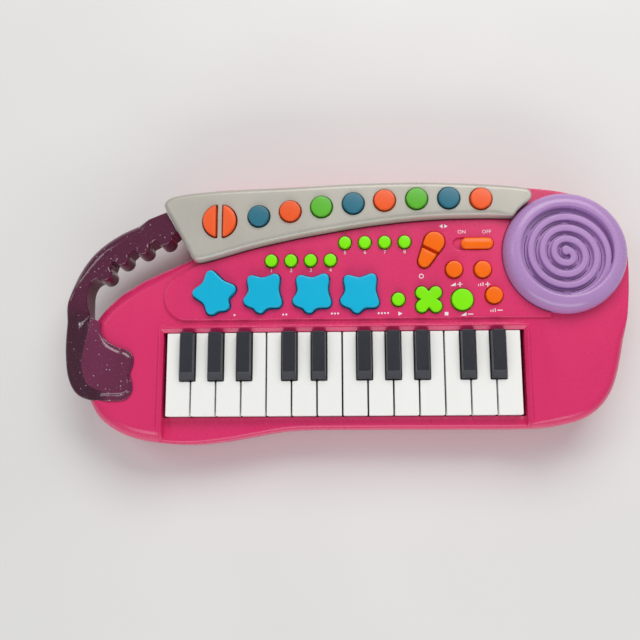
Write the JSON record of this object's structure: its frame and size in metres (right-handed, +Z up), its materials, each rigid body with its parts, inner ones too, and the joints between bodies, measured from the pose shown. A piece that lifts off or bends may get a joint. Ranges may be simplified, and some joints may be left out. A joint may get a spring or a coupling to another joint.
{
  "type": "toy electronic keyboard",
  "caption": "Flat toy keyboard with two octaves of small hinged keys, star pads, push buttons, a round spiral speaker cover and a clear carry handle at one end.",
  "frame": {"origin": "on the surface that the feet stand on, under the middle of the whole object", "axes": "+X along the keys from low notes to high, +Y to the back, away from the player, +Z up"},
  "size_m": [0.3483, 0.1626, 0.048],
  "materials": {
    "case_pink": "moulded, semi-gloss",
    "bar_silver": "silver sprayed plastic, satin",
    "cover_lavender": "moulded, gloss",
    "handle_clear": "clear tinted plastic with glitter",
    "key_white": "moulded, semi-gloss",
    "key_black": "moulded, semi-gloss",
    "cap_blue": "moulded, gloss",
    "cap_green": "moulded, gloss",
    "cap_orange": "moulded, gloss",
    "board": "paper laminate board",
    "mat_rubber": "silicone rubber",
    "speaker": "paper cone, pressed frame and magnet as one",
    "cell": "sleeved cell",
    "steel": "plated"
  },
  "bodies": {
    "case": {"upper_case": "case_pink", "lower_case": "case_pink", "arch_panel": "bar_silver", "speaker_grille": "cover_lavender", "carry_handle": "handle_clear", "main_board": "board", "contact_mats": "mat_rubber", "speaker_driver": "speaker", "batteries": "cell", "battery_contacts": "steel", "screws": "steel", "key_rod": "steel"},
    "battery_cover": {"battery_cover": "case_pink"},
    "white_key_01": {"white_key_01": "key_white"},
    "white_key_02": {"white_key_02": "key_white"},
    "white_key_03": {"white_key_03": "key_white"},
    "white_key_04": {"white_key_04": "key_white"},
    "white_key_05": {"white_key_05": "key_white"},
    "white_key_06": {"white_key_06": "key_white"},
    "white_key_07": {"white_key_07": "key_white"},
    "white_key_08": {"white_key_08": "key_white"},
    "white_key_09": {"white_key_09": "key_white"},
    "white_key_10": {"white_key_10": "key_white"},
    "white_key_11": {"white_key_11": "key_white"},
    "white_key_12": {"white_key_12": "key_white"},
    "white_key_13": {"white_key_13": "key_white"},
    "white_key_14": {"white_key_14": "key_white"},
    "black_key_01": {"black_key_01": "key_black"},
    "black_key_02": {"black_key_02": "key_black"},
    "black_key_03": {"black_key_03": "key_black"},
    "black_key_04": {"black_key_04": "key_black"},
    "black_key_05": {"black_key_05": "key_black"},
    "black_key_06": {"black_key_06": "key_black"},
    "black_key_07": {"black_key_07": "key_black"},
    "black_key_08": {"black_key_08": "key_black"},
    "black_key_09": {"black_key_09": "key_black"},
    "black_key_10": {"black_key_10": "key_black"},
    "star_pad_1": {"star_pad_1": "cap_blue"},
    "star_pad_2": {"star_pad_2": "cap_blue"},
    "star_pad_3": {"star_pad_3": "cap_blue"},
    "star_pad_4": {"star_pad_4": "cap_blue"},
    "rhythm_strip_lower": {"rhythm_strip_lower": "cap_green"},
    "rhythm_strip_upper": {"rhythm_strip_upper": "cap_green"},
    "tone_button_1": {"tone_button_1": "cap_blue"},
    "tone_button_2": {"tone_button_2": "cap_orange"},
    "tone_button_3": {"tone_button_3": "cap_green"},
    "tone_button_4": {"tone_button_4": "cap_blue"},
    "tone_button_5": {"tone_button_5": "cap_orange"},
    "tone_button_6": {"tone_button_6": "cap_green"},
    "tone_button_7": {"tone_button_7": "cap_blue"},
    "tone_button_8": {"tone_button_8": "cap_orange"},
    "record_rocker": {"record_rocker": "cap_orange"},
    "mode_rocker": {"mode_rocker": "cap_orange"},
    "power_slider": {"power_slider": "cap_orange"},
    "volume_up_button": {"volume_up_button": "cap_orange"},
    "volume_down_button": {"volume_down_button": "cap_green"},
    "tempo_up_button": {"tempo_up_button": "cap_orange"},
    "tempo_down_button": {"tempo_down_button": "cap_orange"},
    "demo_button": {"demo_button": "cap_green"},
    "stop_button": {"stop_button": "cap_green"}
  },
  "joints": [
    {"name": "battery_cover_pull", "type": "slide", "parent": "case", "child": "battery_cover", "axis": [0, 0, -1], "range_m": [0, 0.02]},
    {"name": "power_slider_slide", "type": "slide", "parent": "case", "child": "power_slider", "axis": [-1, 0, 0], "range_m": [0, 0.0042]},
    {"name": "record_rocker_tilt", "type": "hinge", "parent": "case", "child": "record_rocker", "pos_m": [-0.07683, 0.05512, 0.0404], "axis": [0, 1, 0], "range_deg": [-5, 5], "stiffness_Nm_per_rad": 0.05},
    {"name": "mode_rocker_tilt", "type": "hinge", "parent": "case", "child": "mode_rocker", "pos_m": [0.05322, 0.03617, 0.0346], "axis": [0.887, -0.4617, 0], "range_deg": [-5, 5], "stiffness_Nm_per_rad": 0.05},
    {"name": "white_key_01_press", "type": "hinge", "parent": "case", "child": "white_key_01", "pos_m": [-0.10228, -0.00728, 0.031], "axis": [1, 0, 0], "range_deg": [0, 4], "stiffness_Nm_per_rad": 0.25, "springref_deg": -2.86},
    {"name": "black_key_01_press", "type": "hinge", "parent": "case", "child": "black_key_01", "pos_m": [-0.09653, -0.00728, 0.031], "axis": [1, 0, 0], "range_deg": [0, 5], "stiffness_Nm_per_rad": 0.25, "springref_deg": -2.86},
    {"name": "star_pad_1_press", "type": "slide", "parent": "case", "child": "star_pad_1", "axis": [0, 0, -1], "range_m": [0, 0.002], "stiffness_N_per_m": 400, "springref_m": -0.001},
    {"name": "star_pad_2_press", "type": "slide", "parent": "case", "child": "star_pad_2", "axis": [0, 0, -1], "range_m": [0, 0.002], "stiffness_N_per_m": 400, "springref_m": -0.001},
    {"name": "star_pad_3_press", "type": "slide", "parent": "case", "child": "star_pad_3", "axis": [0, 0, -1], "range_m": [0, 0.002], "stiffness_N_per_m": 400, "springref_m": -0.001},
    {"name": "star_pad_4_press", "type": "slide", "parent": "case", "child": "star_pad_4", "axis": [0, 0, -1], "range_m": [0, 0.002], "stiffness_N_per_m": 400, "springref_m": -0.001},
    {"name": "rhythm_strip_lower_press", "type": "slide", "parent": "case", "child": "rhythm_strip_lower", "axis": [0, 0, -1], "range_m": [0, 0.0012], "stiffness_N_per_m": 400, "springref_m": -0.001},
    {"name": "rhythm_strip_upper_press", "type": "slide", "parent": "case", "child": "rhythm_strip_upper", "axis": [0, 0, -1], "range_m": [0, 0.0012], "stiffness_N_per_m": 400, "springref_m": -0.001},
    {"name": "volume_up_button_press", "type": "slide", "parent": "case", "child": "volume_up_button", "axis": [0, 0, -1], "range_m": [0, 0.0015], "stiffness_N_per_m": 400, "springref_m": -0.001},
    {"name": "volume_down_button_press", "type": "slide", "parent": "case", "child": "volume_down_button", "axis": [0, 0, -1], "range_m": [0, 0.0015], "stiffness_N_per_m": 400, "springref_m": -0.001},
    {"name": "tempo_up_button_press", "type": "slide", "parent": "case", "child": "tempo_up_button", "axis": [0, 0, -1], "range_m": [0, 0.0015], "stiffness_N_per_m": 400, "springref_m": -0.001},
    {"name": "tempo_down_button_press", "type": "slide", "parent": "case", "child": "tempo_down_button", "axis": [0, 0, -1], "range_m": [0, 0.0015], "stiffness_N_per_m": 400, "springref_m": -0.001},
    {"name": "demo_button_press", "type": "slide", "parent": "case", "child": "demo_button", "axis": [0, 0, -1], "range_m": [0, 0.0015], "stiffness_N_per_m": 400, "springref_m": -0.001},
    {"name": "stop_button_press", "type": "slide", "parent": "case", "child": "stop_button", "axis": [0, 0, -1], "range_m": [0, 0.0015], "stiffness_N_per_m": 400, "springref_m": -0.001},
    {"name": "tone_button_1_press", "type": "slide", "parent": "case", "child": "tone_button_1", "axis": [0, 0, -1], "range_m": [0, 0.0015], "stiffness_N_per_m": 400, "springref_m": -0.001},
    {"name": "tone_button_2_press", "type": "slide", "parent": "case", "child": "tone_button_2", "axis": [0, 0, -1], "range_m": [0, 0.0015], "stiffness_N_per_m": 400, "springref_m": -0.001},
    {"name": "tone_button_3_press", "type": "slide", "parent": "case", "child": "tone_button_3", "axis": [0, 0, -1], "range_m": [0, 0.0015], "stiffness_N_per_m": 400, "springref_m": -0.001},
    {"name": "tone_button_4_press", "type": "slide", "parent": "case", "child": "tone_button_4", "axis": [0, 0, -1], "range_m": [0, 0.0015], "stiffness_N_per_m": 400, "springref_m": -0.001},
    {"name": "tone_button_5_press", "type": "slide", "parent": "case", "child": "tone_button_5", "axis": [0, 0, -1], "range_m": [0, 0.0015], "stiffness_N_per_m": 400, "springref_m": -0.001},
    {"name": "tone_button_6_press", "type": "slide", "parent": "case", "child": "tone_button_6", "axis": [0, 0, -1], "range_m": [0, 0.0015], "stiffness_N_per_m": 400, "springref_m": -0.001},
    {"name": "tone_button_7_press", "type": "slide", "parent": "case", "child": "tone_button_7", "axis": [0, 0, -1], "range_m": [0, 0.0015], "stiffness_N_per_m": 400, "springref_m": -0.001},
    {"name": "tone_button_8_press", "type": "slide", "parent": "case", "child": "tone_button_8", "axis": [0, 0, -1], "range_m": [0, 0.0015], "stiffness_N_per_m": 400, "springref_m": -0.001},
    {"name": "white_key_02_press", "type": "hinge", "parent": "case", "child": "white_key_02", "pos_m": [-0.08678, -0.00728, 0.031], "axis": [1, 0, 0], "range_deg": [0, 4], "stiffness_Nm_per_rad": 0.25, "springref_deg": -2.86},
    {"name": "white_key_03_press", "type": "hinge", "parent": "case", "child": "white_key_03", "pos_m": [-0.07128, -0.00728, 0.031], "axis": [1, 0, 0], "range_deg": [0, 4], "stiffness_Nm_per_rad": 0.25, "springref_deg": -2.86},
    {"name": "white_key_04_press", "type": "hinge", "parent": "case", "child": "white_key_04", "pos_m": [-0.05578, -0.00728, 0.031], "axis": [1, 0, 0], "range_deg": [0, 4], "stiffness_Nm_per_rad": 0.25, "springref_deg": -2.86},
    {"name": "white_key_05_press", "type": "hinge", "parent": "case", "child": "white_key_05", "pos_m": [-0.04028, -0.00728, 0.031], "axis": [1, 0, 0], "range_deg": [0, 4], "stiffness_Nm_per_rad": 0.25, "springref_deg": -2.86},
    {"name": "white_key_06_press", "type": "hinge", "parent": "case", "child": "white_key_06", "pos_m": [-0.02478, -0.00728, 0.031], "axis": [1, 0, 0], "range_deg": [0, 4], "stiffness_Nm_per_rad": 0.25, "springref_deg": -2.86},
    {"name": "white_key_07_press", "type": "hinge", "parent": "case", "child": "white_key_07", "pos_m": [-0.00928, -0.00728, 0.031], "axis": [1, 0, 0], "range_deg": [0, 4], "stiffness_Nm_per_rad": 0.25, "springref_deg": -2.86},
    {"name": "white_key_08_press", "type": "hinge", "parent": "case", "child": "white_key_08", "pos_m": [0.00622, -0.00728, 0.031], "axis": [1, 0, 0], "range_deg": [0, 4], "stiffness_Nm_per_rad": 0.25, "springref_deg": -2.86},
    {"name": "white_key_09_press", "type": "hinge", "parent": "case", "child": "white_key_09", "pos_m": [0.02172, -0.00728, 0.031], "axis": [1, 0, 0], "range_deg": [0, 4], "stiffness_Nm_per_rad": 0.25, "springref_deg": -2.86},
    {"name": "white_key_10_press", "type": "hinge", "parent": "case", "child": "white_key_10", "pos_m": [0.03722, -0.00728, 0.031], "axis": [1, 0, 0], "range_deg": [0, 4], "stiffness_Nm_per_rad": 0.25, "springref_deg": -2.86},
    {"name": "white_key_11_press", "type": "hinge", "parent": "case", "child": "white_key_11", "pos_m": [0.05272, -0.00728, 0.031], "axis": [1, 0, 0], "range_deg": [0, 4], "stiffness_Nm_per_rad": 0.25, "springref_deg": -2.86},
    {"name": "white_key_12_press", "type": "hinge", "parent": "case", "child": "white_key_12", "pos_m": [0.06822, -0.00728, 0.031], "axis": [1, 0, 0], "range_deg": [0, 4], "stiffness_Nm_per_rad": 0.25, "springref_deg": -2.86},
    {"name": "white_key_13_press", "type": "hinge", "parent": "case", "child": "white_key_13", "pos_m": [0.08372, -0.00728, 0.031], "axis": [1, 0, 0], "range_deg": [0, 4], "stiffness_Nm_per_rad": 0.25, "springref_deg": -2.86},
    {"name": "white_key_14_press", "type": "hinge", "parent": "case", "child": "white_key_14", "pos_m": [0.09922, -0.00728, 0.031], "axis": [1, 0, 0], "range_deg": [0, 4], "stiffness_Nm_per_rad": 0.25, "springref_deg": -2.86},
    {"name": "black_key_02_press", "type": "hinge", "parent": "case", "child": "black_key_02", "pos_m": [-0.07903, -0.00728, 0.031], "axis": [1, 0, 0], "range_deg": [0, 5], "stiffness_Nm_per_rad": 0.25, "springref_deg": -2.86},
    {"name": "black_key_03_press", "type": "hinge", "parent": "case", "child": "black_key_03", "pos_m": [-0.06153, -0.00728, 0.031], "axis": [1, 0, 0], "range_deg": [0, 5], "stiffness_Nm_per_rad": 0.25, "springref_deg": -2.86},
    {"name": "black_key_04_press", "type": "hinge", "parent": "case", "child": "black_key_04", "pos_m": [-0.03383, -0.00728, 0.031], "axis": [1, 0, 0], "range_deg": [0, 5], "stiffness_Nm_per_rad": 0.25, "springref_deg": -2.86},
    {"name": "black_key_05_press", "type": "hinge", "parent": "case", "child": "black_key_05", "pos_m": [-0.01573, -0.00728, 0.031], "axis": [1, 0, 0], "range_deg": [0, 5], "stiffness_Nm_per_rad": 0.25, "springref_deg": -2.86},
    {"name": "black_key_06_press", "type": "hinge", "parent": "case", "child": "black_key_06", "pos_m": [0.01197, -0.00728, 0.031], "axis": [1, 0, 0], "range_deg": [0, 5], "stiffness_Nm_per_rad": 0.25, "springref_deg": -2.86},
    {"name": "black_key_07_press", "type": "hinge", "parent": "case", "child": "black_key_07", "pos_m": [0.02947, -0.00728, 0.031], "axis": [1, 0, 0], "range_deg": [0, 5], "stiffness_Nm_per_rad": 0.25, "springref_deg": -2.86},
    {"name": "black_key_08_press", "type": "hinge", "parent": "case", "child": "black_key_08", "pos_m": [0.04697, -0.00728, 0.031], "axis": [1, 0, 0], "range_deg": [0, 5], "stiffness_Nm_per_rad": 0.25, "springref_deg": -2.86},
    {"name": "black_key_09_press", "type": "hinge", "parent": "case", "child": "black_key_09", "pos_m": [0.07467, -0.00728, 0.031], "axis": [1, 0, 0], "range_deg": [0, 5], "stiffness_Nm_per_rad": 0.25, "springref_deg": -2.86},
    {"name": "black_key_10_press", "type": "hinge", "parent": "case", "child": "black_key_10", "pos_m": [0.09277, -0.00728, 0.031], "axis": [1, 0, 0], "range_deg": [0, 5], "stiffness_Nm_per_rad": 0.25, "springref_deg": -2.86}
  ]
}
